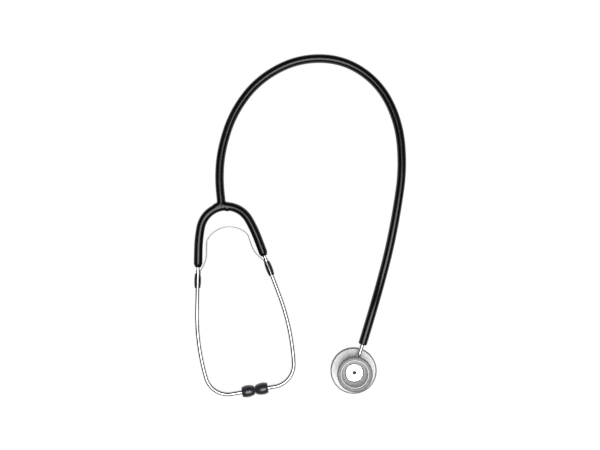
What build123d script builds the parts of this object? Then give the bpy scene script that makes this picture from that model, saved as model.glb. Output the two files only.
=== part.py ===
from build123d import *
import math
import os

# A stethoscope with two ear tubes and a two-sided chest piece, lying on a table, bell up.
# Millimetres, +Z up. The origin is the middle of the diaphragm side, on the table.
# The hose leaves the chest piece towards +Y, loops over and comes back down to the Y of the
# headset, whose ear tubes lie on the left with their tips together.

# Heights and gaps shared by all pieces
table_gap = 0.05  # the lowest line of hose and ear tips above the table
turned_fit = 0.05  # radial gap of the stem in its bore, so that the chest piece can turn
slip_fit = 0.02  # radial gap between two pieces of one body that are pushed together

# Chest piece: the diaphragm side, radii about the upright middle line
rim_radius = 22.25
rim_height = 4.1
rim_wall = 1.1
rim_lip_thickness = 0.8
rim_lip_width = 2.0
rim_edge_rounding = 0.4
membrane_thickness = 0.3
clamp_width = 1.3  # the ring of the flange that presses on the membrane
chamber_rise = 2.2  # depth of the shallow cone over the membrane
flange_edge_top = 3.9
flange_slope_rise = 2.3  # rise of the flange's upper side from its edge to the hub

# Chest piece: hub, boss and the bore for the stem
stem_height = 9.5  # the stem's axis above the table
stem_heading = 17.0  # degrees from +Y towards +X
hub_radius = 9.0
boss_radius = 4.3
boss_reach = 14.3  # from the middle line to the mouth of the stem's bore
port_radius = 2.0  # the sound holes of bell and diaphragm
bore_depth_past_middle = 5.0

# Chest piece: the bell
bell_floor_wall = 1.2  # metal between the stem's bore and the floor of the bell
bell_mouth_radius = 12.6
bell_wall = 1.5
bell_lip_height = 22.9
bell_bead_height = 1.9  # the bead on the lip that the soft ring hooks under
bell_bead_width = 0.7
bell_corner_radius = 5.2  # between the floor and the side of the bell
bell_side_draft = 7.0  # degrees that the side leans outwards
bell_floor_dish = 4.0  # degrees that the floor slopes down to its hole
bell_waist_height = 13.2  # where the flare of the bell leaves the hub
bell_flare_bulge = 0.8  # how far the flare bows out from a straight cone
ring_wall = 1.9
ring_top = 1.1
ring_lip_overhang = 1.4  # how far the ring covers the metal lip, seen from above
ring_hook_height = 0.8
ring_rounding = 0.9
ring_inner_rounding = 0.6

# Click that holds the chest piece at the bell or at the diaphragm
ball_radius = 1.1
ball_bite = 0.35  # how deep the ball reaches into the groove of the stem
detent_offset = 3.9  # from the middle line, along the stem
detent_gap = 0.05
dimple_depth = 0.2
spring_wire_radius = 0.16
spring_turns = 3
spring_length = 1.5
screw_radius = 1.5
screw_length = 1.4
screw_socket_across = 1.5
screw_socket_depth = 0.8

# Stem
stem_inner_radius = 2.95  # in the bore of the chest piece
stem_neck_radius = 2.05
stem_shoulder = 0.4  # length of inner stem that stands out of the bore
stem_end_gap = 0.1
stem_bore_radius = 1.2
stem_port_radius = 1.6
hose_start = 27.3  # from the middle line to the end of the hose, along the stem
stem_tail_length = 15.5
barb_count = 3
barb_length = 3.2
barb_rise = 0.25

# Hose
hose_radius = 4.2
hose_bore_radius = 2.0

# Headset: where it lies, seen from above
crown_place = (-127.2, 158.3)  # the top of the Y's arch
headset_turn = 9.77  # degrees counter-clockwise
neck_heading = 6.0  # degrees from +Y towards -X, the way the hose leaves the Y
neck_length = 13.0
neck_bend_radius = 6.4  # the branches of the Y, between neck and arch

# Headset: the line of one side, from the top of the arch to the ear tip, as arcs
arch_radius = 25.0
arch_turn = 69.3
flare_radius = 125.0
flare_turn = 9.7
straight_length = 58.0
bow_radius = 218.5
bow_turn = 17.5
bend_radius = 21.9
tips_offset = 1.8  # the ear tips meet this far to the right of the middle line

# Headset: Y and legs, which have the hose's own diameter and bore
leg_length = 17.4  # of the leg's part along the straight stretch
leg_taper_length = 3.6  # at the leg's lower end
leg_taper_depth = 1.6
yoke_split_turn = 45.0  # where the legs part from the Y, degrees round the arch

# Headset: ear tubes
tube_radius = 2.1
tube_wall = 0.6
spigot_radius = 1.6
spigot_wall = 0.5
spigot_depth = 12.0  # inside the leg
spigot_barb_count = 2
spigot_bare = 2.6  # between the leg and the full tube

# Headset: spring clips and leaf spring
clip_gap = 5.9  # between the leg and the clip
clip_length = 14.2
clip_middle_radius = 3.3
clip_end_radius = 2.7
clip_slot_width = 2.6
clip_slot_offset = 1.3  # towards the middle of the headset
blade_thickness = 0.6
blade_height = 7.4
blade_crown_depth = 20.0  # from the top of the arch to the crown of the spring
blade_crown_ease = 0.5  # the crown's radius is this much smaller than the arch's
blade_crown_turn = 52.0
blade_shoulder_radius = 5.0
blade_shoulder_turn = 28.0
blade_arm_length = 10.5
blade_sway_radius = 25.0
blade_sway_turn = 30.0
blade_knee_radius = 5.0
tongue_height = 3.4
tongue_length = 10.0
tongue_lead = 3.0  # length of the tongue before the clip
tongue_gap = 0.05

# Headset: ear tips
tip_length = 12.4
tip_radius = 5.75
tip_base_radius = 4.7
tip_end_radius = 3.9
tip_widest = 5.2  # from the base to the widest place
tip_gap = 0.3  # between the two tips
tip_bore_depth = 6.6
tip_hole_radius = 0.9
tip_edge_rounding = 0.5
tip_end_rounding = 1.2

# Route of the hose on the table after its straight start on the stem's axis, chosen by hand
route_lift_end = 57.0  # from the middle line to the end of the run at the stem's height
route = [
    (26.0, 85.0),
    (34.5, 117.5),
    (42.0, 156.0),
    (47.5, 195.5),
    (44.0, 239.0),
    (25.0, 277.5),
    (-10.5, 301.0),
    (-53.5, 301.5),
    (-91.5, 281.5),
    (-115.5, 250.5),
    (-127.0, 217.0),
]
route_last_run = 16.2  # along the neck of the Y
corner_share = 0.45  # of the shorter run at a corner, which the corner's arc may use

# Places that follow from the sizes
hose_height = hose_radius + table_gap
tip_height = tip_radius + table_gap
membrane_top = rim_lip_thickness + membrane_thickness
flange_radius = rim_radius - rim_wall - slip_fit
bore_radius = stem_inner_radius + turned_fit
bell_floor = stem_height + bore_radius + bell_floor_wall
bell_lip_radius = bell_mouth_radius + bell_wall + bell_bead_width
ball_distance = stem_inner_radius + ball_radius - ball_bite
heading = math.radians(stem_heading)
blade_crown_radius = arch_radius - blade_crown_ease
clip_start = leg_length + clip_gap  # along the straight stretch
stem_axis = Vector(math.sin(heading), math.cos(heading), 0)
side_axis = Vector(math.cos(heading), -math.sin(heading), 0)
stem_plane = Plane(origin=(0, 0, stem_height), x_dir=side_axis, z_dir=stem_axis)


def turned(*outline):
    """A solid turned about +Z from the (radius, height) points and curves of its outline."""
    return revolve(Plane.XZ * make_face(Curve() + list(outline)), Axis.Z)


def polygon(*points):
    """A solid turned about +Z from straight lines alone."""
    return turned(Polyline(*points, close=True))


def hole(plane, radius, start, end):
    """A round rod along the plane's own Z, to cut with or to keep."""
    rod = Cylinder(radius, end - start, align=(Align.CENTER, Align.CENTER, Align.MIN))
    return plane * Pos(0, 0, start) * rod


def tube_along(path, radius):
    """A round rod along a path of lines and arcs."""
    return sweep(Plane(origin=path @ 0, z_dir=path % 0) * Circle(radius), path=path)


def barbed(root_radius, start, end, count, length, rise):
    """A hose spigot: a rod with saw-tooth barbs, turned about +Z."""
    points = [(0, start), (root_radius, start)]
    step = (end - start) / count
    for tooth in range(count):
        foot = start + tooth * step + (step - length) / 2
        points.append((root_radius, foot))
        points.append((root_radius + rise, foot))
        points.append((root_radius, foot + length))
    points += [(root_radius, end), (0, end)]
    return polygon(*points)


# The chest piece, built upright about the Z axis


def detent_plane():
    """The click's own axis: out of the hub, square to the stem."""
    middle = Vector(0, 0, stem_height) + stem_axis * detent_offset
    return Plane(origin=middle, x_dir=stem_axis, z_dir=side_axis)


def detent_distances():
    """Where ball, spring and screw follow each other along the click's axis."""
    spring_start = ball_distance + ball_radius
    screw_start = spring_start + spring_length
    return spring_start, screw_start


def head_body():
    """Flange, hub, boss and bell in one turned piece, with the bores for sound and stem."""
    hub_foot = flange_edge_top + flange_slope_rise
    flange = polygon(
        (0, membrane_top),
        (flange_radius, membrane_top),
        (flange_radius, flange_edge_top),
        (hub_radius, hub_foot),
        (hub_radius, bell_waist_height),
        (0, bell_waist_height),
    )
    boss = hole(stem_plane, boss_radius, 0, boss_reach)
    body = flange + boss + bell_cup()
    chamber_edge = flange_radius - clamp_width
    chamber = polygon(
        (0, membrane_top),
        (chamber_edge, membrane_top),
        (port_radius, membrane_top + chamber_rise),
        (0, membrane_top + chamber_rise),
    )
    port = hole(Plane.XY, port_radius, membrane_top, bell_lip_height)
    bore = hole(stem_plane, bore_radius, -bore_depth_past_middle, boss_reach)
    click = detent_plane()
    screw_start = detent_distances()[1]
    ball_bore = hole(click, ball_radius + detent_gap, 0, screw_start)
    screw_bore = hole(click, screw_radius + slip_fit, screw_start, rim_radius)
    return body - chamber - port - bore - ball_bore - screw_bore


def bell_cup():
    """The bell: a bowl with a nearly flat floor and steep sides, and a bead round its lip."""
    draft = math.radians(bell_side_draft)
    mouth = (bell_mouth_radius, bell_lip_height)
    side_foot_height = bell_floor + bell_corner_radius
    side_foot = (
        bell_mouth_radius - (bell_lip_height - side_foot_height) * math.tan(draft),
        side_foot_height,
    )
    side = Line(mouth, side_foot)
    corner_turn = 90 - bell_side_draft - bell_floor_dish
    corner = JernArc(side @ 1, side % 1, bell_corner_radius, -corner_turn)
    floor_end = corner @ 1
    floor_drop = floor_end.X * math.tan(math.radians(bell_floor_dish))
    floor = Line(floor_end, (0, floor_end.Y - floor_drop))
    outer_radius = bell_mouth_radius + bell_wall
    bead_foot = bell_lip_height - bell_bead_height
    waist = Vector(hub_radius, bell_waist_height)
    rim_foot = Vector(outer_radius, bead_foot)
    across = (rim_foot - waist).normalized()
    bulge = (waist + rim_foot) / 2 + Vector(across.Y, -across.X) * bell_flare_bulge
    flare = ThreePointArc(waist, bulge, rim_foot)
    bead = Polyline(rim_foot, (bell_lip_radius, bead_foot), (bell_lip_radius, bell_lip_height), mouth)
    inside = Polyline(floor @ 1, (0, bell_waist_height), waist)
    return turned(side, corner, floor, inside, flare, bead)


def bell_ring():
    """The soft ring: it covers the metal lip and hooks under its bead."""
    lip = bell_lip_radius + slip_fit
    top = bell_lip_height + ring_top
    bead_foot = bell_lip_height - bell_bead_height - slip_fit
    foot = bead_foot - ring_hook_height
    ring = polygon(
        (lip - ring_lip_overhang, bell_lip_height),
        (lip, bell_lip_height),
        (lip, bead_foot),
        (lip - bell_bead_width, bead_foot),
        (lip - bell_bead_width, foot),
        (lip + ring_wall, foot),
        (lip + ring_wall, top),
        (lip - ring_lip_overhang, top),
    )
    circles = ring.edges().filter_by(GeomType.CIRCLE)
    outer = circles.filter_by(lambda e: e.radius > lip + ring_wall / 2)
    ring = fillet(outer, ring_rounding)
    circles = ring.edges().filter_by(GeomType.CIRCLE)
    inner = circles.filter_by(lambda e: e.radius < lip - ring_lip_overhang / 2)
    return fillet(inner.sort_by(Axis.Z)[-1], ring_inner_rounding)


def diaphragm_rim():
    """The retaining ring: a wall round the flange and a lip under the membrane."""
    inner = rim_radius - rim_wall
    rim = polygon(
        (inner - rim_lip_width, 0),
        (rim_radius, 0),
        (rim_radius, rim_height),
        (inner, rim_height),
        (inner, rim_lip_thickness),
        (inner - rim_lip_width, rim_lip_thickness),
    )
    circles = rim.edges().filter_by(GeomType.CIRCLE)
    return fillet(circles.filter_by(lambda e: e.radius > inner + rim_wall / 2), rim_edge_rounding)


def diaphragm():
    """The membrane, clamped between the lip of the rim and the flange."""
    return hole(Plane.XY, flange_radius, rim_lip_thickness, membrane_top)


def detent_ball():
    return detent_plane() * Pos(0, 0, ball_distance) * Sphere(ball_radius)


def detent_spring():
    """A short coil of wire between the ball and the screw."""
    start = detent_distances()[0]
    coil_radius = ball_radius - spring_wire_radius
    seat = start + spring_wire_radius - (ball_radius - math.sqrt(ball_radius**2 - coil_radius**2))
    height = detent_distances()[1] - seat - spring_wire_radius - slip_fit
    line = Helix(pitch=height / spring_turns, height=height, radius=coil_radius)
    coil = sweep(Plane(origin=line @ 0, z_dir=line % 0) * Circle(spring_wire_radius), path=line)
    return detent_plane() * Pos(0, 0, seat) * coil


def detent_screw():
    """A short set screw with a hexagon socket, which closes the bore of the click."""
    click = detent_plane()
    start = detent_distances()[1]
    screw = hole(click, screw_radius, start, start + screw_length)
    socket = extrude(RegularPolygon(screw_socket_across / 2, 6, major_radius=False), screw_socket_depth)
    return screw - click * Pos(0, 0, start + screw_length - screw_socket_depth) * socket


# The stem, which belongs to the hose and stays still while the chest piece turns on it


def stem():
    """Closed inner end with a side port and a groove, a slim neck and a barbed tail."""
    inner_end = -bore_depth_past_middle + stem_end_gap
    shoulder = boss_reach + stem_shoulder
    neck_taper = stem_inner_radius - stem_neck_radius
    tail_end = hose_start + stem_tail_length
    rod = polygon(
        (0, inner_end),
        (stem_inner_radius, inner_end),
        (stem_inner_radius, shoulder),
        (stem_neck_radius, shoulder + neck_taper),
        (stem_neck_radius, hose_start),
        (0, hose_start),
    )
    tail_radius = hose_bore_radius - barb_rise
    rod += barbed(tail_radius, hose_start, tail_end, barb_count, barb_length, barb_rise)
    groove = Pos(0, 0, detent_offset) * Torus(ball_distance, ball_radius + detent_gap)
    rod -= groove
    for side in (-1, 1):
        place = Pos(side * (ball_distance - dimple_depth), 0, detent_offset)
        rod -= place * Sphere(ball_radius + detent_gap)
    rod -= hole(Plane.XY, stem_bore_radius, 0, tail_end)
    rod = stem_plane * rod
    return rod - hole(Plane.XY, stem_port_radius, 0, stem_height)


# The hose, a free cord from the stem to the neck of the Y


def neck_end():
    """Where the hose meets the neck of the Y, and the way it leaves."""
    plane = headset_plane()
    foot = plane.from_local_coords(Vector(0, 0, 0))
    end = plane.from_local_coords(neck_direction() * neck_length)
    return end, (end - foot).normalized()


def hose_points():
    """The corners of the route, from the stem to the neck."""
    exit_point = Vector(0, 0, stem_height) + stem_axis * hose_start
    lift_end = Vector(0, 0, stem_height) + stem_axis * route_lift_end
    on_table = [Vector(x, y, hose_height) for x, y in route]
    end, direction = neck_end()
    return [exit_point, lift_end] + on_table + [end + direction * route_last_run, end]


def corner_radii(points):
    """The largest arcs that the runs at each corner allow."""
    radii = []
    for before, corner, after in zip(points, points[1:], points[2:]):
        first = corner - before
        second = after - corner
        half_turn = math.radians(first.get_angle(second)) / 2
        shorter = min(first.length, second.length)
        radii.append(corner_share * shorter / math.tan(half_turn))
    return radii


def main_tube():
    points = hose_points()
    radii = corner_radii(points)
    path = FilletPolyline(*points, radius=radii)
    section = Circle(hose_radius) - Circle(hose_bore_radius)
    hose = sweep(Plane(origin=path @ 0, z_dir=path % 0) * section, path=path)
    runs = [(b - a).length for a, b in zip(points, points[1:])]
    print("hose runs", [round(run, 1) for run in runs])
    print("hose radii", [round(radius) for radius in radii])
    print("hose length", round(path.length, 1))
    print("hose volume", round(hose.volume, 1), "of", round(section.area * path.length, 1))
    return hose


# The headset, built flat about its own middle line, then laid on hose and ear tips


def headset_plane():
    """Its own X to the right, its own -Y towards the ear tips, which lie a little higher."""
    hose_side = neck_length + route_last_run
    tip_side = -(side_line()["bend"] @ 1).Y
    slope = math.asin((tip_height - hose_height) / (hose_side + tip_side))
    turn = math.radians(headset_turn)
    right = Vector(math.cos(turn), math.sin(turn), 0)
    down = Vector(math.sin(turn) * math.cos(slope), -math.cos(turn) * math.cos(slope), math.sin(slope))
    height = hose_height + hose_side * math.sin(slope)
    return Plane(origin=(*crown_place, height), x_dir=right, z_dir=down.cross(right))


def side_line():
    """The line of the right side as a chain of tangent lines and arcs."""
    arch_top = JernArc((0, 0), (1, 0), arch_radius, -yoke_split_turn)
    arch_foot = JernArc(arch_top @ 1, arch_top % 1, arch_radius, yoke_split_turn - arch_turn)
    flare = JernArc(arch_foot @ 1, arch_foot % 1, flare_radius, -flare_turn)
    straight = Line(flare @ 1, flare @ 1 + (flare % 1) * straight_length)
    bow = JernArc(straight @ 1, straight % 1, bow_radius, -bow_turn)
    bend_turn = 180 - arch_turn - flare_turn - bow_turn
    bend = JernArc(bow @ 1, bow % 1, bend_radius, -bend_turn)
    return {
        "arch_top": arch_top,
        "arch_foot": arch_foot,
        "flare": flare,
        "straight": straight,
        "bow": bow,
        "bend": bend,
    }


def straight_point(distance):
    """A point on the straight stretch of the side line."""
    straight = side_line()["straight"]
    return straight @ 0 + (straight % 0) * distance


def straight_plane():
    """Z along the straight stretch towards the ear tip, X outwards, Y up from the table."""
    straight = side_line()["straight"]
    along = straight % 0
    return Plane(origin=straight @ 0, x_dir=(-along.Y, along.X, 0), z_dir=along)


def place_side(solid, side):
    """Lay a right-hand piece in the headset, mirrored for the left side."""
    if side == "left":
        solid = mirror(solid, about=Plane.YZ)
    return headset_plane().location * solid


def neck_direction():
    """The way of the neck, in the headset's own frame."""
    lean = math.radians(headset_turn - neck_heading)
    return Vector(math.sin(lean), math.cos(lean))


def yoke_tubes(radius):
    """The arch and, on each side, a branch that curves from the neck into the arch."""
    right_arc = side_line()["arch_top"]
    left_arc = mirror(right_arc, about=Plane.YZ)
    tubes = tube_along(right_arc, radius) + tube_along(left_arc, radius)
    along = neck_direction()
    for side in (1, -1):
        across = Vector(along.Y, -along.X) * side
        centre = Vector(0, -arch_radius)
        offset = neck_bend_radius + centre.dot(across)
        reach = math.sqrt((arch_radius + neck_bend_radius) ** 2 - offset**2) + centre.dot(along)
        bend_centre = along * reach + across * neck_bend_radius
        to_arch = (centre - bend_centre).normalized()
        bend_turn = (across * -1).get_angle(to_arch)
        neck = Line(along * neck_length, along * reach)
        bend = JernArc(neck @ 1, neck % 1, neck_bend_radius, side * bend_turn)
        tubes += tube_along(Wire([neck, bend]), radius)
    return tubes


def yoke():
    """The moulded Y: the top of the arch and the neck that the hose runs on from."""
    return headset_plane().location * (yoke_tubes(hose_radius) - yoke_tubes(hose_bore_radius))


def yoke_leg(side):
    """A leg of the Y, from the arch to its tapered end on the ear tube's spigot."""
    line = side_line()
    end = Line(line["straight"] @ 0, straight_point(leg_length))
    path = Wire([line["arch_foot"], line["flare"], end])
    leg = tube_along(path, hose_radius)
    lower_end = leg.faces().sort_by(Axis.Y)[0]
    leg = chamfer(lower_end.edges(), leg_taper_depth, leg_taper_length, reference=lower_end)
    return place_side(leg - tube_along(path, hose_bore_radius), side)


def ear_tube(side):
    """The bent tube, with a barbed spigot for the leg and a plain end for the ear tip."""
    line = side_line()
    tube_start = leg_length + spigot_bare
    bore_radius = tube_radius - tube_wall
    meeting = tips_offset if side == "right" else -tips_offset
    end_x = meeting + tip_gap / 2 + tip_length - tip_bore_depth
    bend_end = line["bend"] @ 1
    first = Line(straight_point(tube_start), line["straight"] @ 1)
    last = Line(bend_end, (end_x, bend_end.Y))
    path = Wire([first, line["bow"], line["bend"], last])
    tube = tube_along(path, tube_radius) - tube_along(path, bore_radius)
    spigot_start = leg_length - spigot_depth
    rise = hose_bore_radius - slip_fit - spigot_radius
    spigot = barbed(spigot_radius, spigot_start, leg_length, spigot_barb_count, barb_length, rise)
    spigot += hole(Plane.XY, spigot_radius, leg_length, tube_start)
    spigot += hole(Plane.XY, bore_radius, tube_start, tube_start + tube_wall)
    spigot -= hole(Plane.XY, spigot_radius - spigot_wall, spigot_start, tube_start + tube_wall)
    return place_side(tube + straight_plane() * spigot, side)


def spring_clip(side):
    """A boat-shaped black saddle on the tube, open on top, with a pocket for the spring."""
    half = clip_length / 2
    far_end = (clip_end_radius, clip_length)
    near_end = (clip_end_radius, 0)
    barrel_side = ThreePointArc(near_end, (clip_middle_radius, half), far_end)
    clip = turned(barrel_side, Polyline(far_end, (0, clip_length), (0, 0), near_end))
    clip -= hole(Plane.XY, tube_radius + slip_fit, 0, clip_length)
    upright = (Align.CENTER, Align.MIN, Align.MIN)
    slot = Box(clip_slot_width, clip_middle_radius, clip_length, align=upright)
    inwards = (Align.MAX, Align.CENTER, Align.MIN)
    pocket_size = (blade_thickness + 2 * tongue_gap, tongue_height + 2 * tongue_gap)
    pocket = Box(*pocket_size, tongue_length + tongue_gap, align=inwards)
    clip -= Pos(-clip_slot_offset, 0, 0) * slot
    clip -= Pos(-tube_radius, 0, 0) * pocket
    return place_side(straight_plane() * Pos(0, 0, clip_start) * clip, side)


def blade_line():
    """The middle line of the right half of the leaf spring, ending along the ear tube."""
    crown = JernArc((0, -blade_crown_depth), (1, 0), blade_crown_radius, -blade_crown_turn)
    shoulder = JernArc(crown @ 1, crown % 1, blade_shoulder_radius, -blade_shoulder_turn)
    arm = Line(shoulder @ 1, shoulder @ 1 + (shoulder % 1) * blade_arm_length)
    sway = JernArc(arm @ 1, arm % 1, blade_sway_radius, blade_sway_turn)
    along = side_line()["straight"] % 0
    knee_turn = (sway % 1).get_angle(along)
    knee_radians = math.radians(knee_turn)
    outwards = Vector(-along.Y, along.X)
    tongue_offset = tube_radius + tongue_gap + blade_thickness / 2
    start = side_line()["straight"] @ 0 - outwards * tongue_offset
    missing = (start - sway @ 1).dot(outwards)
    knee_run = (missing - blade_knee_radius * (1 - math.cos(knee_radians))) / math.sin(knee_radians)
    run = Line(sway @ 1, sway @ 1 + (sway % 1) * knee_run)
    knee = JernArc(run @ 1, run % 1, blade_knee_radius, -knee_turn)
    tongue_end = start + along * (clip_start + tongue_length)
    tongue = Line(knee @ 1, tongue_end)
    return [crown, shoulder, arm, sway, run, knee, tongue]


def leaf_spring():
    """A flat steel band on edge, with narrow tongues in the clips."""
    half_face = trace(Curve() + blade_line(), line_width=blade_thickness)
    half = extrude(half_face, blade_height / 2, both=True)
    for way, side in ((-1, Align.MAX), (1, Align.MIN)):
        waste = Box(blade_height, blade_height, clip_length, align=(Align.CENTER, side, Align.MIN))
        place = Pos(0, way * tongue_height / 2, clip_start - tongue_lead)
        half -= straight_plane() * place * waste
    return headset_plane().location * (half + mirror(half, about=Plane.YZ))


def ear_tip(side):
    """A black ear tip: flat base, full middle, blunt rounded end with the sound hole."""
    widest = (tip_radius, tip_widest)
    base_arc = TangentArc(widest, (tip_base_radius, 0), tangent=(0, -1))
    end_arc = TangentArc(widest, (tip_end_radius, tip_length), tangent=(0, 1))
    rest = Polyline((tip_end_radius, tip_length), (0, tip_length), (0, 0), (tip_base_radius, 0))
    tip = turned(base_arc, end_arc, rest)
    rims = tip.edges().filter_by(GeomType.CIRCLE).sort_by(Axis.Z)
    tip = fillet(rims[0], tip_edge_rounding)
    tip = fillet(tip.edges().filter_by(GeomType.CIRCLE).sort_by(Axis.Z)[-1], tip_end_rounding)
    tip -= hole(Plane.XY, tube_radius + slip_fit, 0, tip_bore_depth)
    tip -= hole(Plane.XY, tip_hole_radius, 0, tip_length)
    meeting = tips_offset if side == "right" else -tips_offset
    base_x = meeting + tip_gap / 2 + tip_length
    place = Plane(origin=(base_x, (side_line()["bend"] @ 1).Y, 0), z_dir=(-1, 0, 0))
    return place_side(place * tip, side)


def write(name, solid):
    export_step(solid, f"parts/{name}.step")


os.makedirs("parts", exist_ok=True)
for piece in (
    head_body,
    bell_ring,
    diaphragm_rim,
    diaphragm,
    detent_ball,
    detent_spring,
    detent_screw,
    stem,
    main_tube,
    yoke,
    leaf_spring,
):
    write(piece.__name__, piece())
for piece in (yoke_leg, spring_clip, ear_tube, ear_tip):
    for side in ("left", "right"):
        write(f"{piece.__name__}_{side}", piece(side))
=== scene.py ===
import math

import bmesh
import bpy
import numpy as np
from mathutils import Matrix, Vector


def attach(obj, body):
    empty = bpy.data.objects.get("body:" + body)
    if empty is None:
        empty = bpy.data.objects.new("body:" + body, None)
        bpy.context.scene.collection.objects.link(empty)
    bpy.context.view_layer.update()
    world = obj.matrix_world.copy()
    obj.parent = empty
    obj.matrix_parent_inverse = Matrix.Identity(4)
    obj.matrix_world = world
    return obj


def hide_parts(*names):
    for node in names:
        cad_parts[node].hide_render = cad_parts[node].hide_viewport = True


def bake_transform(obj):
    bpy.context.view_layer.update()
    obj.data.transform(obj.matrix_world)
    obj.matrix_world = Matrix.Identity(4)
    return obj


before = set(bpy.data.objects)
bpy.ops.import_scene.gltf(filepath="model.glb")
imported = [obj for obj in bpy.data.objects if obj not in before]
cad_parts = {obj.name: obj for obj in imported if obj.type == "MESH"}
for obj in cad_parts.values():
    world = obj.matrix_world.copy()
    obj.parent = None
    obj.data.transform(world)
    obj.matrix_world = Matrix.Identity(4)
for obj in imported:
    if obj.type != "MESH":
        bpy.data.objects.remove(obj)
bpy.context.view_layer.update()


# Camera: straight above the table, as the photograph was taken, with the picture's top
# towards +Y. The height and the lens give 0.97 mm of table for each pixel.
def stand(name, data):
    """A new object in the scene, made from its data."""
    item = bpy.data.objects.new(name, data)
    bpy.context.scene.collection.objects.link(item)
    return item


camera = stand("camera", bpy.data.cameras.new("camera"))
camera.location = (-0.05177, 0.1407, 0.76)
camera.data.lens = 47.0
camera.data.sensor_width = 36.0
bpy.context.scene.camera = camera


# Hose: one length of soft black PVC, extruded with a smooth wet-looking skin. It is pushed
# over the stem's barbs, where its cut end is a little rounded, and lies in one big loop up
# to the neck of the Y, into which it is moulded.
hose_radius = 0.0042
hose_rounding = 0.0016
hose_bore_radius = 0.00206
hose_mouth_radius = 0.00225
hose_mouth_depth = 0.0003
hose_end_length = 0.0019
on_table = 0.00425
neck_height = 0.00437
stem_height = 0.0095
stem_reach = 0.0273
stem_axis = Vector((0.292372, 0.956305, 0.0))
hose_exit = Vector((0.0, 0.0, stem_height)) + stem_reach * stem_axis
hose_route = [
    (0.01667, 0.05451, stem_height),
    (0.0260, 0.0850, on_table),
    (0.0345, 0.1175, on_table),
    (0.0420, 0.1560, on_table),
    (0.0475, 0.1955, on_table),
    (0.0440, 0.2390, on_table),
    (0.0250, 0.2775, on_table),
    (-0.0105, 0.3010, on_table),
    (-0.0535, 0.3015, on_table),
    (-0.0915, 0.2815, on_table),
    (-0.1155, 0.2505, on_table),
    (-0.1270, 0.2170, on_table),
    (-0.13025, 0.18734, on_table),
    (-0.12856, 0.17123, neck_height),
]
pvc_black = (0.002, 0.002, 0.0022)
pvc_bloom = (0.0045, 0.0045, 0.0047)


def grey(level):
    """An even grey, as a colour socket takes it."""
    return (level, level, level, 1.0)


class Shade:
    """One value in a material. Sums and products of such values add the nodes for them."""

    def __init__(self, tree, socket=None):
        self.tree = tree
        self.socket = socket

    def add(self, kind, settings=None, sockets=None, out=0):
        """A node of any kind: its settings are made first, then its sockets are filled."""
        node = self.tree.nodes.new(kind)
        for name, value in (settings or {}).items():
            if name == "stops":
                for stop in list(node.color_ramp.elements)[1:]:
                    node.color_ramp.elements.remove(stop)
                for place, level in value:
                    node.color_ramp.elements.new(place).color = grey(level)
                node.color_ramp.elements.remove(node.color_ramp.elements[0])
            else:
                setattr(node, name, value)
        for name, value in (sockets or {}).items():
            if isinstance(value, Shade):
                self.tree.links.new(value.socket, node.inputs[name])
            else:
                node.inputs[name].default_value = value
        return Shade(self.tree, node.outputs[out] if node.outputs else None)

    def output(self, name):
        """Another output of the node that this value comes from."""
        return Shade(self.tree, self.socket.node.outputs[name])

    def maths(self, operation, *values):
        """A Math node's result for values and plain numbers."""
        return self.add("ShaderNodeMath", {"operation": operation}, dict(enumerate(values)))

    def __add__(self, other):
        return self.maths("ADD", self, other)

    def __sub__(self, other):
        return self.maths("SUBTRACT", self, other)

    def __rsub__(self, other):
        return self.maths("SUBTRACT", other, self)

    def __mul__(self, other):
        return self.maths("MULTIPLY", self, other)

    def __lt__(self, other):
        return self.maths("LESS_THAN", self, other)

    def __gt__(self, other):
        return self.maths("GREATER_THAN", self, other)

    __radd__ = __add__
    __rmul__ = __mul__

    def ramp(self, *stops):
        """The value run through soft steps: (place, result) pairs."""
        return self.add("ShaderNodeValToRGB", {"stops": stops}, {"Fac": self})

    def tint(self, low, high):
        """A colour between two, by this value. Sockets 6 and 7 of the node are its colours."""
        colours = {0: self, 6: (*low, 1.0), 7: (*high, 1.0)}
        return self.add("ShaderNodeMix", {"data_type": "RGBA"}, colours, out=2)

    def times(self, factors):
        """A place or a way with each of its three numbers multiplied."""
        return self.add("ShaderNodeVectorMath", {"operation": "MULTIPLY"}, {0: self, 1: factors})

    def where(self):
        """The place on the piece, in metres."""
        return self.add("ShaderNodeTexCoord", out="Object")

    def noise(self, scale, detail=2.0, stretch=None):
        """Soft noise over the piece; a stretch above 1 packs it tighter along that way."""
        place = self.where().times(stretch) if stretch else self.where()
        pattern = {"Vector": place, "Scale": scale, "Detail": detail}
        return self.add("ShaderNodeTexNoise", {}, pattern)

    def bump(self, height, distance, strength=1.0):
        relief = {"Height": height, "Distance": distance, "Strength": strength}
        return self.add("ShaderNodeBump", {}, relief)


def finish(name, build):
    """A material whose Principled sockets come from build(shade)."""
    material = bpy.data.materials.new(name)
    material.use_nodes = True
    material.node_tree.nodes.clear()
    shade = Shade(material.node_tree)
    surface = shade.add("ShaderNodeBsdfPrincipled", {}, build(shade))
    shade.add("ShaderNodeOutputMaterial", {}, {"Surface": surface})
    return material


def black_pvc(shade):
    handling = shade.noise(90.0, 4.0)
    grain = shade.noise(1400.0, 2.0)
    bloom = shade.noise(35.0, 3.0).ramp((0.45, 0.0), (0.75, 1.0))
    return {
        "Base Color": bloom.tint(pvc_black, pvc_bloom),
        "Roughness": 0.13 + handling * 0.14,
        "IOR": 1.5,
        "Specular IOR Level": 0.45,
        "Normal": shade.bump(grain * 0.35 + handling * 0.65, 0.00004, 0.5),
    }


hose_finish = finish("black_hose_pvc", black_pvc)


def put(piece, material):
    """Give a new piece its material."""
    piece.data.materials.clear()
    piece.data.materials.append(material)


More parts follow.
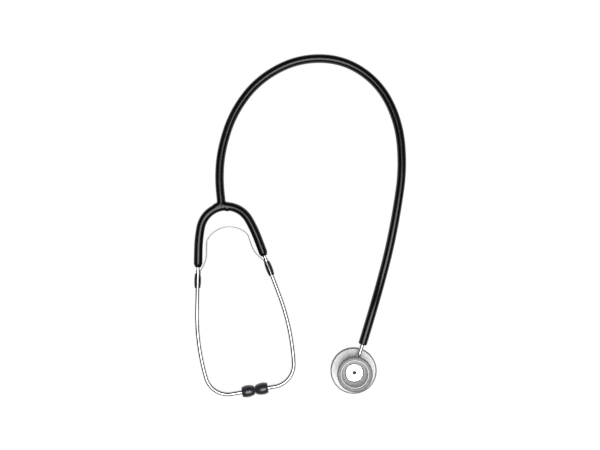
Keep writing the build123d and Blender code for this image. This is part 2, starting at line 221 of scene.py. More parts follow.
def solid(name, mesh_in_work, crease=35.0):
    """An object from a finished bmesh, smooth except at its creases."""
    bmesh.ops.recalc_face_normals(mesh_in_work, faces=mesh_in_work.faces)
    mesh = bpy.data.meshes.new(name)
    mesh_in_work.to_mesh(mesh)
    mesh_in_work.free()
    mesh.shade_smooth()
    mesh.set_sharp_from_angle(angle=math.radians(crease))
    return stand(name, mesh)


def skin(mesh_in_work, rings, closed=False):
    """Quads between rings of points of one size; the first and last are capped if open."""
    rows = [[mesh_in_work.verts.new(point) for point in ring] for ring in rings]
    pairs = list(zip(rows, rows[1:]))
    if closed:
        pairs.append((rows[-1], rows[0]))
    else:
        mesh_in_work.faces.new(rows[0])
        mesh_in_work.faces.new(rows[-1])
    for lower, upper in pairs:
        for index in range(len(lower)):
            corners = (lower[index - 1], lower[index], upper[index], upper[index - 1])
            mesh_in_work.faces.new(corners)


def turned(name, profile, place, sides=96, closed=False):
    """A piece turned about the place's Z from (radius, height) pairs."""
    angles = [2 * math.pi * index / sides for index in range(sides)]
    rings = []
    for radius, height in profile:
        ring = [(radius * math.cos(a), radius * math.sin(a), height) for a in angles]
        rings.append([place @ Vector(point) for point in ring])
    work = bmesh.new()
    skin(work, rings, closed)
    return solid(name, work)


def rounded(radius, height, rounding, start, end, count=6):
    """Points of a rounded corner about (radius, height), from one angle to another."""
    angles = [math.radians(start + (end - start) * step / count) for step in range(count + 1)]
    return [(radius + rounding * math.cos(a), height + rounding * math.sin(a)) for a in angles]


def facing(origin, along):
    """A place whose Z points along the given way."""
    turn = Vector(along).to_track_quat("Z", "Y").to_matrix().to_4x4()
    return Matrix.Translation(origin) @ turn


hose_line = bpy.data.curves.new("main_hose", "CURVE")
hose_line.dimensions = "3D"
hose_line.bevel_depth = hose_radius
hose_line.bevel_resolution = 10
hose_line.resolution_u = 16
hose_line.use_fill_caps = True
hose_spline = hose_line.splines.new("NURBS")
hose_points = [hose_exit + hose_rounding * stem_axis] + [Vector(point) for point in hose_route]
hose_spline.points.add(len(hose_points) - 1)
for point, place in zip(hose_spline.points, hose_points):
    point.co = (*place, 1.0)
hose_spline.order_u = 3
hose_spline.use_endpoint_u = True
hose = stand("main_hose", hose_line)
put(hose, hose_finish)
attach(hose, "root")
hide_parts("main_tube")

hose_end_profile = [
    (hose_bore_radius, hose_end_length),
    (hose_bore_radius, hose_mouth_depth),
    (hose_mouth_radius, 0.0),
]
hose_end_profile += rounded(hose_radius - hose_rounding, hose_rounding, hose_rounding, -90, 0, 8)
hose_end_profile += [(hose_radius, hose_end_length)]
hose_end = turned("hose_end", hose_end_profile, facing(hose_exit, stem_axis), closed=True)
put(hose_end, hose_finish)
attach(hose_end, "root")


# Headset's lines: the two sides are mirror images about the headset's own middle line,
# which lies turned on the table and rises very slightly towards the thicker ear tips.
# Each side is an arch, a flare, a straight, a bow and a bend; arcs are (radius, degrees).
headset_bearing = 9.77
headset_turn = math.radians(headset_bearing)
headset_slope = math.radians(0.42599)
right_way = Vector((math.cos(headset_turn), math.sin(headset_turn), 0.0))
up_way = Vector((
    -math.sin(headset_slope) * math.sin(headset_turn),
    math.sin(headset_slope) * math.cos(headset_turn),
    math.cos(headset_slope),
))
headset = Matrix((right_way, up_way.cross(right_way), up_way)).transposed().to_4x4()
headset.translation = (-0.1272, 0.1583, 0.004467)
arch = (0.025, 69.3)
flare = (0.125, 9.7)
straight_length = 0.058
bow = (0.2185, 17.5)
bend = (0.0219, 83.5)
mirror = {"left": -1.0, "right": 1.0}


def walk(steps, start=(0.0, 0.0), heading=0.0, spacing=0.0007):
    """Points in the headset's plane along runs (length,) and arcs (radius, degrees)."""
    points = [Vector(start)]
    turn = math.radians(heading)
    for step in steps:
        swing = -math.radians(step[1]) if len(step) == 2 else 0.0
        length = step[0] * abs(swing) if len(step) == 2 else step[0]
        count = max(1, math.ceil(length / spacing))
        chord = length / count
        if swing:
            chord = 2 * step[0] * math.sin(abs(swing) / count / 2)
        for _ in range(count):
            turn += swing / count / 2
            points.append(points[-1] + chord * Vector((math.cos(turn), math.sin(turn))))
            turn += swing / count / 2
    return points


straight_start = walk([arch, flare])[-1]
straight_heading = -(arch[1] + flare[1])
along_straight = Vector((
    math.cos(math.radians(straight_heading)),
    math.sin(math.radians(straight_heading)),
))
out_of_straight = Vector((-along_straight.y, along_straight.x))


def on_straight(distance):
    """The place on a side's straight at a distance from its start."""
    return straight_start + along_straight * distance


def laid(points, side):
    """Points of the headset's plane where they lie in the scene, mirrored for the left."""
    return [headset @ Vector((mirror[side] * point.x, point.y, 0.0)) for point in points]


def across_line(centres, index):
    """The level way across a line of points, at one of them."""
    before = centres[max(index - 1, 0)]
    after = centres[min(index + 1, len(centres) - 1)]
    return up_way.cross(after - before).normalized()


# Y and legs: one black moulding with the hose. The hose's neck parts into two branches
# that run smoothly into an arch, and the arch's ends are the legs, which are soft sleeves
# over the ear tubes' barbs with a tapered lower end.
hose_bearing = 6.0
neck_lean = math.radians(headset_bearing - hose_bearing)
neck_length = 0.013
branch_radius = 0.0064
crotch_web = 0.0016
leg_length = 0.0174
leg_taper_length = 0.0036
leg_taper_depth = 0.0016
# Rings of the taper, as shares of its depth and of its length; the last closes the end.
leg_taper = [(0.02, 0.07), (0.1, 0.2), (0.45, 0.57), (0.82, 0.92), (1.0, 1.0), (1.45, 1.0)]
bend_starts = 0.004
bend_ends = 0.006
cut_allowance = 0.003
moulding_voxel = 0.00036
fitting_passes = 3
probe = 1e-5
least_slope = 0.3
neck_way = Vector((math.sin(neck_lean), math.cos(neck_lean)))


def branch_line(hand):
    """The middle line from above the neck's end down one branch, into the arch."""
    across = Vector((neck_way.y, -neck_way.x)) * hand
    centre = Vector((0.0, -arch[0]))
    offset = branch_radius + centre.dot(across)
    reach = math.sqrt((arch[0] + branch_radius) ** 2 - offset**2) + centre.dot(neck_way)
    bend_centre = neck_way * reach + across * branch_radius
    turn = math.degrees((-across).angle((centre - bend_centre).normalized()))
    start = neck_way * (neck_length + cut_allowance)
    heading = math.degrees(math.atan2(-neck_way.y, -neck_way.x))
    run = (start - neck_way * reach).length
    return walk([(run,), (branch_radius, -hand * turn)], start, heading)


def round_bar(work, centres, radii, sides=32):
    """A round bar along points that lie in the headset's plane."""
    angles = [2 * math.pi * step / sides for step in range(sides)]
    rings = []
    for index, (centre, radius) in enumerate(zip(centres, radii)):
        across = across_line(centres, index)
        ring = [radius * (math.cos(a) * across + math.sin(a) * up_way) for a in angles]
        rings.append([centre + point for point in ring])
    skin(work, rings)


def distance_to(points, line):
    """How far each of many points is from a line of short runs."""
    nearest = np.full(len(points), np.inf)
    for first, second in zip(line, line[1:]):
        run = second - first
        share = np.clip(((points - first) @ run) / (run @ run), 0.0, 1.0)
        gap = np.linalg.norm(points - first - share[:, None] * run, axis=1)
        nearest = np.minimum(nearest, gap)
    return nearest


leg_steps = [arch, flare, (leg_length + cut_allowance,)]
leg_lines = [laid(walk(leg_steps), side) for side in ("right", "left")]
branch_lines = [laid(branch_line(hand), "right") for hand in (1, -1)]
work = bmesh.new()
for line in leg_lines + branch_lines:
    round_bar(work, line, [hose_radius] * len(line))
rough = solid("rough_moulding", work)
remesh = rough.modifiers.new("remesh", "REMESH")
remesh.mode = "VOXEL"
remesh.voxel_size = moulding_voxel
graph = bpy.context.evaluated_depsgraph_get()
even = bpy.data.meshes.new_from_object(rough.evaluated_get(graph))
bpy.data.objects.remove(rough)
leg_arrays = [np.array(line) for line in leg_lines]
branch_arrays = [np.array(line) for line in branch_lines]
arch_centre = np.array(headset @ Vector((0.0, -arch[0], 0.0)))


def moulding_gap(points):
    """Distance out of the moulding's skin, with a small web where branch and arch meet."""
    legs = np.minimum(*[distance_to(points, line) for line in leg_arrays])
    branches = np.minimum(*[distance_to(points, line) for line in branch_arrays])
    beyond_arch = np.linalg.norm(points - arch_centre, axis=1) - arch[0]
    web = np.maximum(crotch_web - np.abs(legs - branches), 0.0) / crotch_web
    web = web**2 * np.clip(beyond_arch / hose_radius, 0.0, 1.0)
    return np.minimum(legs, branches) - web * crotch_web / 4 - hose_radius


# Every corner moves along the slope of its gap until it lies on the exact skin.
places = np.array([vertex.co for vertex in even.vertices])
for _ in range(fitting_passes):
    gap = moulding_gap(places)
    slopes = [moulding_gap(places + np.eye(3)[axis] * probe) - gap for axis in range(3)]
    slope = np.stack(slopes, axis=1) / probe
    slope /= np.maximum(np.linalg.norm(slope, axis=1), least_slope)[:, None]
    places -= slope * gap[:, None]
even.vertices.foreach_set("co", places.astype(np.float32).ravel())
work = bmesh.new()
work.from_mesh(even)
bpy.data.meshes.remove(even)


def cut_off(mesh_in_work, point, way, cut_away=True):
    """Cut the mesh by a plane, take away what lies beyond it, and give the cut's edges."""
    cut = bmesh.ops.bisect_plane(
        mesh_in_work,
        geom=mesh_in_work.verts[:] + mesh_in_work.edges[:] + mesh_in_work.faces[:],
        dist=1e-7,
        plane_co=point,
        plane_no=way,
        clear_outer=cut_away,
    )
    return [item for item in cut["geom_cut"] if isinstance(item, bmesh.types.BMEdge)]


neck_end = headset @ (neck_way * neck_length).to_3d()
cut_off(work, neck_end, neck_end - headset.translation)
for side in ("right", "left"):
    taper = [on_straight(leg_length - leg_taper_length), on_straight(leg_length)]
    foot, end = laid(taper, side)
    way = (end - foot).normalized()
    rim = cut_off(work, foot, way)
    for sunk, advance in leg_taper:
        grown = bmesh.ops.extrude_edge_only(work, edges=rim)["geom"]
        rim = [item for item in grown if isinstance(item, bmesh.types.BMEdge)]
        for corner in {vertex for edge in rim for vertex in edge.verts}:
            outwards = corner.co - foot
            outwards = (outwards - outwards.dot(way) * way).normalized()
            radius = hose_radius - leg_taper_depth * sunk
            corner.co = foot + outwards * radius + way * leg_taper_length * advance

# The halves part at the middle line and keep the whole moulding's normals, so that no
# seam shows there.
cut_off(work, headset.translation, right_way, cut_away=False)
work.normal_update()
kept_normal = work.verts.layers.float_vector.new("kept_normal")
for vertex in work.verts:
    vertex[kept_normal] = vertex.normal
for side in ("left", "right"):
    half = work.copy()
    beyond = [
        face for face in half.faces
        if (face.calc_center_median() - headset.translation).dot(right_way) * mirror[side] < 0
    ]
    bmesh.ops.delete(half, geom=beyond, context="FACES")
    mesh = bpy.data.meshes.new(f"yoke_half_{side}")
    half.to_mesh(mesh)
    half.free()
    mesh.shade_smooth()
    normals = [tuple(item.vector) for item in mesh.attributes["kept_normal"].data]
    mesh.normals_split_custom_set_from_vertices(normals)
    mesh.attributes.remove(mesh.attributes["kept_normal"])
    piece = stand(f"yoke_half_{side}", mesh)
    put(piece, hose_finish)
    start, end = laid([Vector((bend_starts, 0.0)), on_straight(bend_ends)], side)
    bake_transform(piece)
    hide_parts("yoke", f"yoke_leg_{side}")
work.free()


# Leaf spring: a flat strip of bright rolled spring steel, set on edge and bowed between
# the legs. Its rolled long edges are rounded, and its ends narrow to tongues that sit in
# the clips.
tube_radius = 0.0021
blade_thickness = 0.0006
blade_height = 0.0074
blade_spacing = 0.0004
crown_depth = 0.020
crown_still = 0.002
crown = (0.0245, 52.0)
shoulder = (0.005, 28.0)
arm_length = 0.0105
sway = (0.025, -30.0)
knee_radius = 0.005
knee_reach = 0.006
tongue_height = 0.0034
tongue_length = 0.010
tongue_lead = 0.003
tongue_narrowing = 0.0006
tongue_gap = 0.00005
tongue_offset = tube_radius + tongue_gap + blade_thickness / 2
clip_start = 0.0233
rolled_dark = (0.28, 0.28, 0.29)
rolled_light = (0.42, 0.42, 0.43)


def rolled_steel(shade):
    lines = shade.noise(60.0, 3.0, (1.0, 1.0, 90.0))
    patches = shade.noise(120.0, 3.0)
    return {
        "Base Color": patches.tint(rolled_dark, rolled_light),
        "Metallic": 1.0,
        "Roughness": 0.26 + lines * 0.16,
        "Normal": shade.bump(lines, 0.00002, 0.6),
    }


spring_finish = finish("rolled_spring_steel", rolled_steel)


def blade_points():
    """The right half of the spring's middle line, from its crown to the tongue's end."""
    crown_top = (0.0, -crown_depth)
    steps = [crown, shoulder, (arm_length,), sway]
    sway_end = walk(steps, crown_top)[-1]
    knee = math.radians(-(crown[1] + shoulder[1] + sway[1]) - straight_heading)
    tongue_foot = straight_start - out_of_straight * tongue_offset
    missing = (tongue_foot - sway_end).dot(out_of_straight)
    run = (missing - knee_radius * (1 - math.cos(knee))) / math.sin(knee)
    steps += [(run,), (knee_radius, math.degrees(knee))]
    knee_end = walk(steps, crown_top)[-1]
    tongue_end = tongue_foot + along_straight * (clip_start + tongue_length)
    steps += [((tongue_end - knee_end).length,)]
    return walk(steps, crown_top, spacing=blade_spacing)


def held(value):
    """The value, held between 0 and 1."""
    return min(max(value, 0.0), 1.0)


flat_points = blade_points()
for side in ("left", "right"):
    centres = laid(flat_points, side)
    rings = []
    for index, centre in enumerate(centres):
        from_start = flat_points[index] - straight_start
        narrowing = 0.0
        if from_start.dot(out_of_straight) > -knee_reach:
            reach = from_start.dot(along_straight)
            narrowing = held((reach - clip_start + tongue_lead) / tongue_narrowing)
        half_height = (blade_height + (tongue_height - blade_height) * narrowing) / 2
        across = across_line(centres, index)
        half = blade_thickness / 2
        profile = rounded(0.0, half_height - half, half, 0, 180)
        profile += rounded(0.0, half - half_height, half, 180, 360)
        rings.append([centre + x * across + z * up_way for x, z in profile])
    work = bmesh.new()
    skin(work, rings)
    piece = solid(f"leaf_spring_{side}", work, crease=50.0)
    put(piece, spring_finish)
    start, end = laid([Vector((crown_still, -crown_depth)), on_straight(clip_start)], side)
    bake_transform(piece)
    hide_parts("leaf_spring")


# Ear tubes: thin chrome-plated brass tube, polished to a mirror, bent to lie in the ears.
# The upper end steps down to a slim bare spigot that goes up into the leg.
spigot_radius = 0.0016
spigot_bare = 0.0026
spigot_in_leg = 0.002
spigot_step = 0.0003
step_lead = 0.00001
points_on_straight = 20
tips_offset = 0.0018
tip_gap = 0.0003
tip_length = 0.0124
tip_bore_depth = 0.0066
chrome_clean = (0.58, 0.59, 0.60)
chrome_smudged = (0.50, 0.505, 0.51)


def mirror_chrome(shade):
    smudges = shade.noise(55.0, 4.0).ramp((0.42, 0.0), (0.72, 1.0))
    scratches = shade.noise(900.0, 2.0, (1.0, 0.12, 1.0))
    return {
        "Base Color": smudges.tint(chrome_clean, chrome_smudged),
        "Metallic": 1.0,
        "Roughness": 0.045 + smudges * 0.07 + scratches * 0.03,
        "Normal": shade.bump(scratches, 0.000004, 0.35),
    }


tube_finish = finish("mirror_chrome", mirror_chrome)
bend_end = walk([arch, flare, (straight_length,), bow, bend])[-1]
tube_start = leg_length + spigot_bare
for side in ("left", "right"):
    tip_place = mirror[side] * tips_offset + tip_gap / 2 + tip_length
    steps = [
        (spigot_in_leg + spigot_bare,),
        (spigot_step,),
        (straight_length - tube_start - spigot_step,),
        bow,
        bend,
        (bend_end.x - (tip_place - tip_bore_depth),),
    ]
    flat_points = walk(steps, on_straight(leg_length - spigot_in_leg), straight_heading)
    radii = [tube_radius] * len(flat_points)
    for index in range(points_on_straight):
        reach = (flat_points[index] - straight_start).dot(along_straight)
        share = held((reach - tube_start + step_lead) / spigot_step)
        radii[index] = spigot_radius + (tube_radius - spigot_radius) * share
    work = bmesh.new()
    round_bar(work, laid(flat_points, side), radii, sides=40)
    piece = solid(f"ear_tube_bent_{side}", work, crease=40.0)
    put(piece, tube_finish)
    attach(piece, f"ear_{side}")
    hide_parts(f"ear_tube_{side}")


# Spring clips: small boat-shaped saddles of glossy black plastic, snapped over the tubes
# so that the chrome shows through the slot on top. They hold the spring's tongues.
clip_length = 0.0142
clip_middle_radius = 0.0033
clip_end_radius = 0.0027
clip_bore_radius = 0.00212
clip_edge_inset = 0.00022
clip_steps = 26
clip_outer_steps = 40
clip_bore_steps = 36
slot_side = 0.0021
slot_floor = 0.0003
slot_chamfer = 0.0001
clip_black = (0.010, 0.010, 0.011)
clip_flow = (0.018, 0.018, 0.019)


def clip_plastic(shade):
    flow = shade.noise(260.0, 3.0)
    return {
        "Base Color": flow.tint(clip_black, clip_flow),
        "Roughness": 0.16 + flow * 0.16,
        "Normal": shade.bump(flow, 0.00003, 0.4),
    }


clip_finish = finish("clip_black_plastic", clip_plastic)
clip_rise = clip_middle_radius - clip_end_radius
clip_side_radius = (clip_length**2 / 4 + clip_rise**2) / (2 * clip_rise)
for side in ("left", "right"):
    foot, end = laid([on_straight(clip_start), on_straight(clip_start + clip_length)], side)
    way = (end - foot).normalized()
    outwards = (mirror[side] * up_way.cross(way)).normalized()
    rings = []
    for step in range(clip_steps + 1):
        place = step / clip_steps
        sagitta = math.sqrt(clip_side_radius**2 - ((place - 0.5) * clip_length) ** 2)
        steps_to_end = min(place, 1.0 - place) * clip_steps
        inset = clip_edge_inset * max(0.0, 1.0 - steps_to_end) ** 2
        radius = clip_middle_radius - clip_side_radius + sagitta - inset
        side_width = min(slot_side, 0.99 * radius)
        last = 2 * math.pi - math.asin(side_width / radius)
        outer = [last * index / clip_outer_steps for index in range(clip_outer_steps + 1)]
        ring = [(radius * math.sin(a), radius * math.cos(a)) for a in outer]
        ring += [(-side_width, slot_floor), (-side_width + slot_chamfer, 0.0)]
        back = range(clip_bore_steps, -1, -1)
        bore = [1.5 * math.pi * index / clip_bore_steps for index in back]
        ring += [(clip_bore_radius * math.sin(a), clip_bore_radius * math.cos(a)) for a in bore]
        centre = foot + way * place * clip_length
        rings.append([centre + x * outwards + z * up_way for x, z in ring])
    work = bmesh.new()
    skin(work, rings)
    piece = solid(f"clip_saddle_{side}", work, crease=40.0)
    put(piece, clip_finish)
    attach(piece, f"ear_{side}")
    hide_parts(f"spring_clip_{side}")


# Ear tips: moulded black plastic, flat at the tube and blunt at the sound hole, with a
# faint parting line from the mould and a satin skin with worn patches, lighter and less glossy.
tip_radius = 0.00575
tip_widest = 0.0052
tip_base_radius = 0.0047
tip_base_rounding = 0.0005
tip_base_inset = 0.0004
tip_end_radius = 0.0039
tip_end_rounding = 0.0012
tip_end_inset = 0.00105
tip_mouth_radius = 0.0023
tip_mouth_depth = 0.0002
tip_bore_shown = 0.003
tip_hole_radius = 0.0009
tip_hole_rounding = 0.0003
tip_hole_depth = 0.004
parting_from = 0.003
parting_half_width = 0.00012
parting_height = 0.00006
tip_black = (0.012, 0.011, 0.014)
tip_worn = (0.034, 0.031, 0.042)


def tip_plastic(shade):
    grain = shade.noise(700.0, 3.0)
    wear = shade.noise(160.0, 3.0)
    return {
        "Base Color": wear.tint(tip_black, tip_worn),
        "Roughness": 0.13 + wear * 0.16,
        "Specular IOR Level": 0.75,
        "Normal": shade.bump(grain * 0.3 + wear * 0.7, 0.00014, 0.6),
    }


tip_finish = finish("ear_tip_black", tip_plastic)


def tip_side(end_radius, end, count):
    """Points of an arc that leaves the widest place square to the axis."""
    drop = tip_radius - end_radius
    arc_radius = (drop**2 + (end - tip_widest) ** 2) / (2 * drop)
    points = []
    for step in range(count + 1):
        height = tip_widest + (end - tip_widest) * step / count
        reach = math.sqrt(arc_radius**2 - (height - tip_widest) ** 2)
        points.append((tip_radius - arc_radius + reach, height))
    return points


tip_profile = [
    (tube_radius, tip_bore_shown),
    (tube_radius, tip_mouth_depth),
    (tip_mouth_radius, 0.0),
]
tip_profile += rounded(
    tip_base_radius - tip_base_inset, tip_base_rounding, tip_base_rounding, -90, -12
)
tip_profile += tip_side(tip_base_radius, 0.0, 14)[-3::-1]
tip_profile += tip_side(tip_end_radius, tip_length, 18)[1:-2]
tip_profile += rounded(
    tip_end_radius - tip_end_inset, tip_length - tip_end_rounding, tip_end_rounding, 22, 90, 8
)
tip_profile += rounded(
    tip_hole_radius + tip_hole_rounding,
    tip_length - tip_hole_rounding,
    tip_hole_rounding,
    90,
    180,
    4,
)
tip_profile += [(tip_hole_radius, tip_length - tip_hole_depth)]
for side in ("left", "right"):
    base = Vector((mirror[side] * tips_offset + tip_gap / 2 + tip_length, bend_end.y))
    place, end = laid([base, base - Vector((tip_length, 0.0))], side)
    way = (end - place).normalized()
    piece = turned(f"ear_tip_moulded_{side}", tip_profile, facing(place, end - place), sides=72)
    for vertex in piece.data.vertices:
        from_base = vertex.co - place
        radial = from_base - from_base.dot(way) * way
        on_parting = abs(from_base.dot(up_way)) < parting_half_width
        if on_parting and radial.length > parting_from:
            vertex.co += radial.normalized() * parting_height
    put(piece, tip_finish)
    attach(piece, f"ear_{side}")
    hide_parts(f"ear_tip_{side}")


# Chest piece's body: one turned casting, chrome-plated. The hub and the floor of the bell
# are bright with fine turning rings; the flange and the steep side of the bell with its lip
# are bead-blasted to a satin, and the flange's colour is lightened as a painted highlight.
# The plating doesn't reach into the sound hole, whose bare metal is darkened as painted shade.
bell_reach = 0.0142
bell_bottom = 0.0134
bell_floor_radius = 0.0085
bell_side_radius = 0.0095
flange_bottom = 0.0034
flange_top = 0.0066
sound_hole_radius = 0.00204
ring_frequency = 26000.0
ramp_reach = 0.02
plating_clean = 0.6043
plating_smudged = 0.5304


def off_axis(shade):
    """How far the place is from the chest piece's middle line."""
    flat = shade.where().times((1, 1, 0))
    return shade.add("ShaderNodeVectorMath", {"operation": "LENGTH"}, {0: flat}, out="Value")


def by_radius(radius, *stops):
    """A value that follows the radius: (radius, result) pairs, no further than ramp_reach."""
    shares = [(place / ramp_reach, result) for place, result in stops]
    return (radius * (1 / ramp_reach)).ramp(*shares)


def chest_chrome(shade):
    height = shade.add("ShaderNodeSeparateXYZ", {}, {0: shade.where()}, out="Z")
    radius = off_axis(shade)
    in_bell = (radius < bell_reach) * (height > bell_bottom)
    blasted = in_bell * by_radius(radius, (bell_floor_radius, 0.0), (bell_side_radius, 1.0))
    # On the flange the colour is lightened by 0.45 as a painted highlight; its satin finish is
    # real.
    on_flange = (height < flange_top) * (height > flange_bottom)
    # Inside the sound hole the metal is bare and rougher, and its colour is darkened as painted
    # shade.
    hole_bare_and_shaded = radius < sound_hole_radius
    rings = shade.maths("SINE", radius * ring_frequency)
    smudges = shade.noise(70.0, 4.0).ramp((0.4, 0.0), (0.75, 1.0))
    blast = shade.noise(2600.0, 2.0)
    satin = shade.maths("MAXIMUM", blasted, on_flange)
    plating = plating_clean - smudges * (plating_clean - plating_smudged)
    return {
        # Painted shade darkens the sound hole and a painted highlight lightens the flange.
        "Base Color": plating * (1 - hole_bare_and_shaded * 0.85) * (1 + on_flange * 0.45),
        "Metallic": 1 - satin * 0.62,
        "Roughness": 0.07 + smudges * 0.08 + satin * (0.4 + blast * 0.1) + hole_bare_and_shaded * 0.4,
        "Normal": shade.bump(satin * blast * 0.9 + (1 - satin) * rings * 0.12, 0.000006, 0.5),
    }


def dress(node, material):
    """Give a CAD node that stays a procedural material."""
    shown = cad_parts[node]
    shown.data.materials.clear()
    shown.data.materials.append(material)


dress("head_body", finish("chest_chrome", chest_chrome))


# Bell ring: a grey soft plastic ring snapped over the bell's lip, so that the metal isn't
# cold on the skin. It is moulded from marbled stock, with a few darker clouds and streaks.
ring_inner = 0.01342
ring_outer = 0.01672
ring_top = 0.024
ring_foot = 0.02018
ring_rounding = 0.0009
ring_inner_rounding = 0.0006
lip_radius = 0.01482
lip_top = 0.0229
bead_radius = 0.01412
bead_foot = 0.02098
# Painted light and shade by radius: the colour is lightened at the inner lip and darkened towards
# the outer rounded edge.
ring_painted_shading = [(0.0136, 1.25), (0.0148, 1.0), (0.0160, 0.55), (0.0166, 0.4)]
ring_dark = 0.1239
ring_light = 0.2539


def grey_ring(shade):
    clouds = shade.noise(260.0, 5.0)
    streaks = shade.noise(900.0, 3.0, (1.0, 0.25, 1.0))
    mottle = (clouds * 0.6 + streaks * 0.4).ramp((0.36, 0.0), (0.64, 1.0))
    marble = ring_dark + mottle * (ring_light - ring_dark)
    return {
        # The marble is multiplied by the painted shading by radius.
        "Base Color": marble * by_radius(off_axis(shade), *ring_painted_shading),
        "Roughness": 0.30 + clouds * 0.18,
        "Normal": shade.bump(mottle, 0.00005, 0.5),
    }


ring_profile = [(lip_radius, lip_top), (lip_radius, bead_foot)]
ring_profile += [(bead_radius, bead_foot), (bead_radius, ring_foot)]
ring_profile += rounded(
    ring_outer - ring_rounding, ring_foot + ring_rounding, ring_rounding, -90, 0, 8
)
ring_profile += rounded(
    ring_outer - ring_rounding, ring_top - ring_rounding, ring_rounding, 0, 90, 8
)
ring_profile += rounded(
    ring_inner + ring_inner_rounding, ring_top - ring_inner_rounding, ring_inner_rounding, 90, 180
)
ring_profile += [(ring_inner, lip_top)]
ring = turned("bell_soft_ring", ring_profile, Matrix(), sides=128, closed=True)
put(ring, finish("grey_ring_plastic", grey_ring))
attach(ring, "chest_head")
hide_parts("bell_ring")


# Retaining ring: moulded in dark grey plastic so that it isn't cold on the skin, and
# screwed up over the flange from below. It clamps the membrane with the narrow lip that
# the chest piece stands on.
rim_radius = 0.02225
rim_height = 0.0041
rim_inner = 0.02115
rim_lip_inner = 0.01915
rim_lip = 0.0008
rim_lip_chamfer = 0.0002
rim_rounding = 0.0004
rim_chamfer = 0.0001
groove_depth = 0.00018
groove_heights = (0.0011, 0.0013, 0.0015, 0.0017)
rim_dark = (0.035, 0.036, 0.037)
rim_light = (0.075, 0.077, 0.078)


def dark_rim(shade):
    clouds = shade.noise(240.0, 4.0)
    turning = shade.noise(120.0, 2.0, (1.0, 1.0, 60.0))
    return {
        "Base Color": clouds.tint(rim_dark, rim_light),
        "Roughness": 0.22 + clouds * 0.16,
        "Normal": shade.bump(turning * 0.5 + clouds * 0.5, 0.00003, 0.5),
    }


rim_profile = [
    (rim_lip_inner, rim_lip),
    (rim_lip_inner, rim_lip_chamfer),
    (rim_lip_inner + rim_lip_chamfer, 0.0),
]
rim_profile += rounded(rim_radius - rim_rounding, rim_rounding, rim_rounding, -90, 0)
for height, sunk in zip(groove_heights, (0.0, groove_depth, groove_depth, 0.0)):
    rim_profile.append((rim_radius - sunk, height))
rim_profile += rounded(rim_radius - rim_rounding, rim_height - rim_rounding, rim_rounding, 0, 90)
rim_profile += [
    (rim_inner + rim_chamfer, rim_height),
    (rim_inner, rim_height - rim_chamfer),
    (rim_inner, rim_lip),
]
rim = turned("retaining_ring", rim_profile, Matrix(), sides=160, closed=True)
put(rim, finish("dark_rim_plastic", dark_rim))
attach(rim, "chest_head")
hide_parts("diaphragm_rim")


# Membrane: a thin sheet of glass cloth in clear resin, so its weave shows faintly. The
# retaining ring clamps its edge against the flange.
thread_frequency = 9000.0
resin_yellow = (0.78, 0.76, 0.68)
glass_white = (0.88, 0.87, 0.82)


def membrane_sheet(shade):
    across = shade.add("ShaderNodeSeparateXYZ", {}, {0: shade.where()}, out="X")
    along = across.output("Y")
    weave = shade.maths("SINE", across * thread_frequency)
    weave = weave * shade.maths("SINE", along * thread_frequency)
    return {
        "Base Color": (weave * 0.5 + 0.5).tint(resin_yellow, glass_white),
        "Roughness": 0.22 + weave * 0.05,
        "Normal": shade.bump(weave, 0.00001, 0.4),
    }


dress("diaphragm", finish("membrane_sheet", membrane_sheet))


# Click: a hardened steel ball, its coil spring, and the set screw that closes their bore
# in the side of the hub. Only the screw's socket shows.
steel_dull = (0.52, 0.52, 0.53)
steel_bright = (0.66, 0.66, 0.67)


def plain_steel(shade):
    grain = shade.noise(1500.0, 3.0)
    return {
        "Base Color": grain.tint(steel_dull, steel_bright),
        "Metallic": 1.0,
        "Roughness": 0.22 + grain * 0.15,
        "Normal": shade.bump(grain, 0.000008, 0.4),
    }


steel_finish = finish("plain_steel", plain_steel)
for node in ("detent_ball", "detent_spring", "detent_screw"):
    dress(node, steel_finish)


# Stem: a turned and plated pin with a bore for the sound, which the chest piece turns on.
# It is duller than the chest piece from the hands that turn it.
stem_hole_radius = 0.0022
stem_dull = 0.5004
stem_bright = 0.6004


def stem_metal(shade):
    turning = shade.noise(90.0, 3.0, (9.0, 30.0, 9.0))
    smudges = shade.noise(150.0, 3.0)
    # Inside the bore the metal is bare and rougher, and its colour is darkened as painted shade.
    hole_bare_and_shaded = off_axis(shade) < stem_hole_radius
    plating = stem_dull + smudges * (stem_bright - stem_dull)
    return {
        "Base Color": plating * (1 - hole_bare_and_shaded * 0.8),
        "Metallic": 1.0,
        "Roughness": 0.16 + turning * 0.12 + hole_bare_and_shaded * 0.4,
        "Normal": shade.bump(turning, 0.00001, 0.5),
    }


dress("stem", finish("stem_metal", stem_metal))


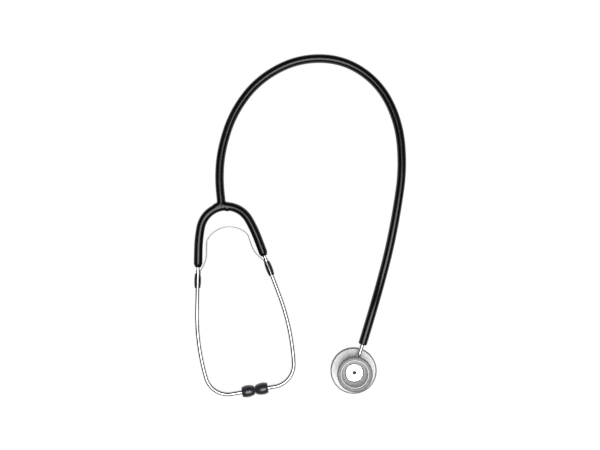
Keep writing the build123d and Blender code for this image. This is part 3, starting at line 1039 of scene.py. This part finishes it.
# Table: a plain white sheet that fades into the white background. It shows white to the
# camera and to polished metal, and keeps a faint shadow.
table_reach = 3.0
table_corners = [(-1, -1), (1, -1), (1, 1), (-1, 1)]
table_white = 1.05
table_white_share = 0.88
table_mesh = bpy.data.meshes.new("table")
table_mesh.from_pydata(
    [(table_reach * x, table_reach * y, 0.0) for x, y in table_corners], [], [(0, 1, 2, 3)]
)
table_paint = bpy.data.materials.new("table_white")
table_paint.use_nodes = True
table_paint.node_tree.nodes.clear()
shade = Shade(table_paint.node_tree)
camera_ray = shade.add("ShaderNodeLightPath", out="Is Camera Ray")
direct = camera_ray + camera_ray.output("Is Glossy Ray") + camera_ray.output("Is Transmission Ray")
direct = shade.maths("MINIMUM", direct, 1.0)
matt = shade.add("ShaderNodeBsdfDiffuse", {}, {"Color": grey(0.82)})
white = shade.add("ShaderNodeEmission", {}, {"Color": grey(1.0), "Strength": table_white})
mixed = shade.add("ShaderNodeMixShader", {}, {0: direct * table_white_share, 1: matt, 2: white})
shade.add("ShaderNodeOutputMaterial", {}, {"Surface": mixed})
table_mesh.materials.append(table_paint)
table = stand("table", table_mesh)


# Lamp: one large soft rectangle, high over the table beyond the picture's lower edge, so
# that its highlights lie along the hose and on the ear tips.
lamp = bpy.data.lights.new("soft_lamp", "AREA")
lamp.shape = "RECTANGLE"
lamp.size = 0.95
lamp.size_y = 1.05
lamp.energy = 16.0
stand("soft_lamp", lamp).location = (0.08, -0.27, 1.3)


# Room: white where the camera looks past the table, and a soft fill on every matt surface.
# Polished metal mirrors a dim room instead, a little lighter overhead.
room_fill = 0.45
room_light = [(0.0, 0.02), (0.6, 0.03), (0.8, 0.10), (1.0, 0.12)]
world = bpy.data.worlds.new("studio")
world.use_nodes = True
world.node_tree.nodes.clear()
shade = Shade(world.node_tree)
camera_ray = shade.add("ShaderNodeLightPath", out="Is Camera Ray")
sky = shade.add("ShaderNodeTexCoord", out="Generated")
height = shade.add("ShaderNodeSeparateXYZ", {}, {0: sky}, out="Z")
mixed = shade.add("ShaderNodeBackground", {}, {"Color": height.ramp(*room_light)})
for ray, level in ((camera_ray.output("Is Diffuse Ray"), room_fill), (camera_ray, 1.0)):
    plain = shade.add("ShaderNodeBackground", {}, {"Color": grey(level)})
    mixed = shade.add("ShaderNodeMixShader", {}, {0: ray, 1: mixed, 2: plain})
shade.add("ShaderNodeOutputWorld", {}, {"Surface": mixed})
bpy.context.scene.world = world
bpy.context.scene.view_settings.view_transform = "Standard"
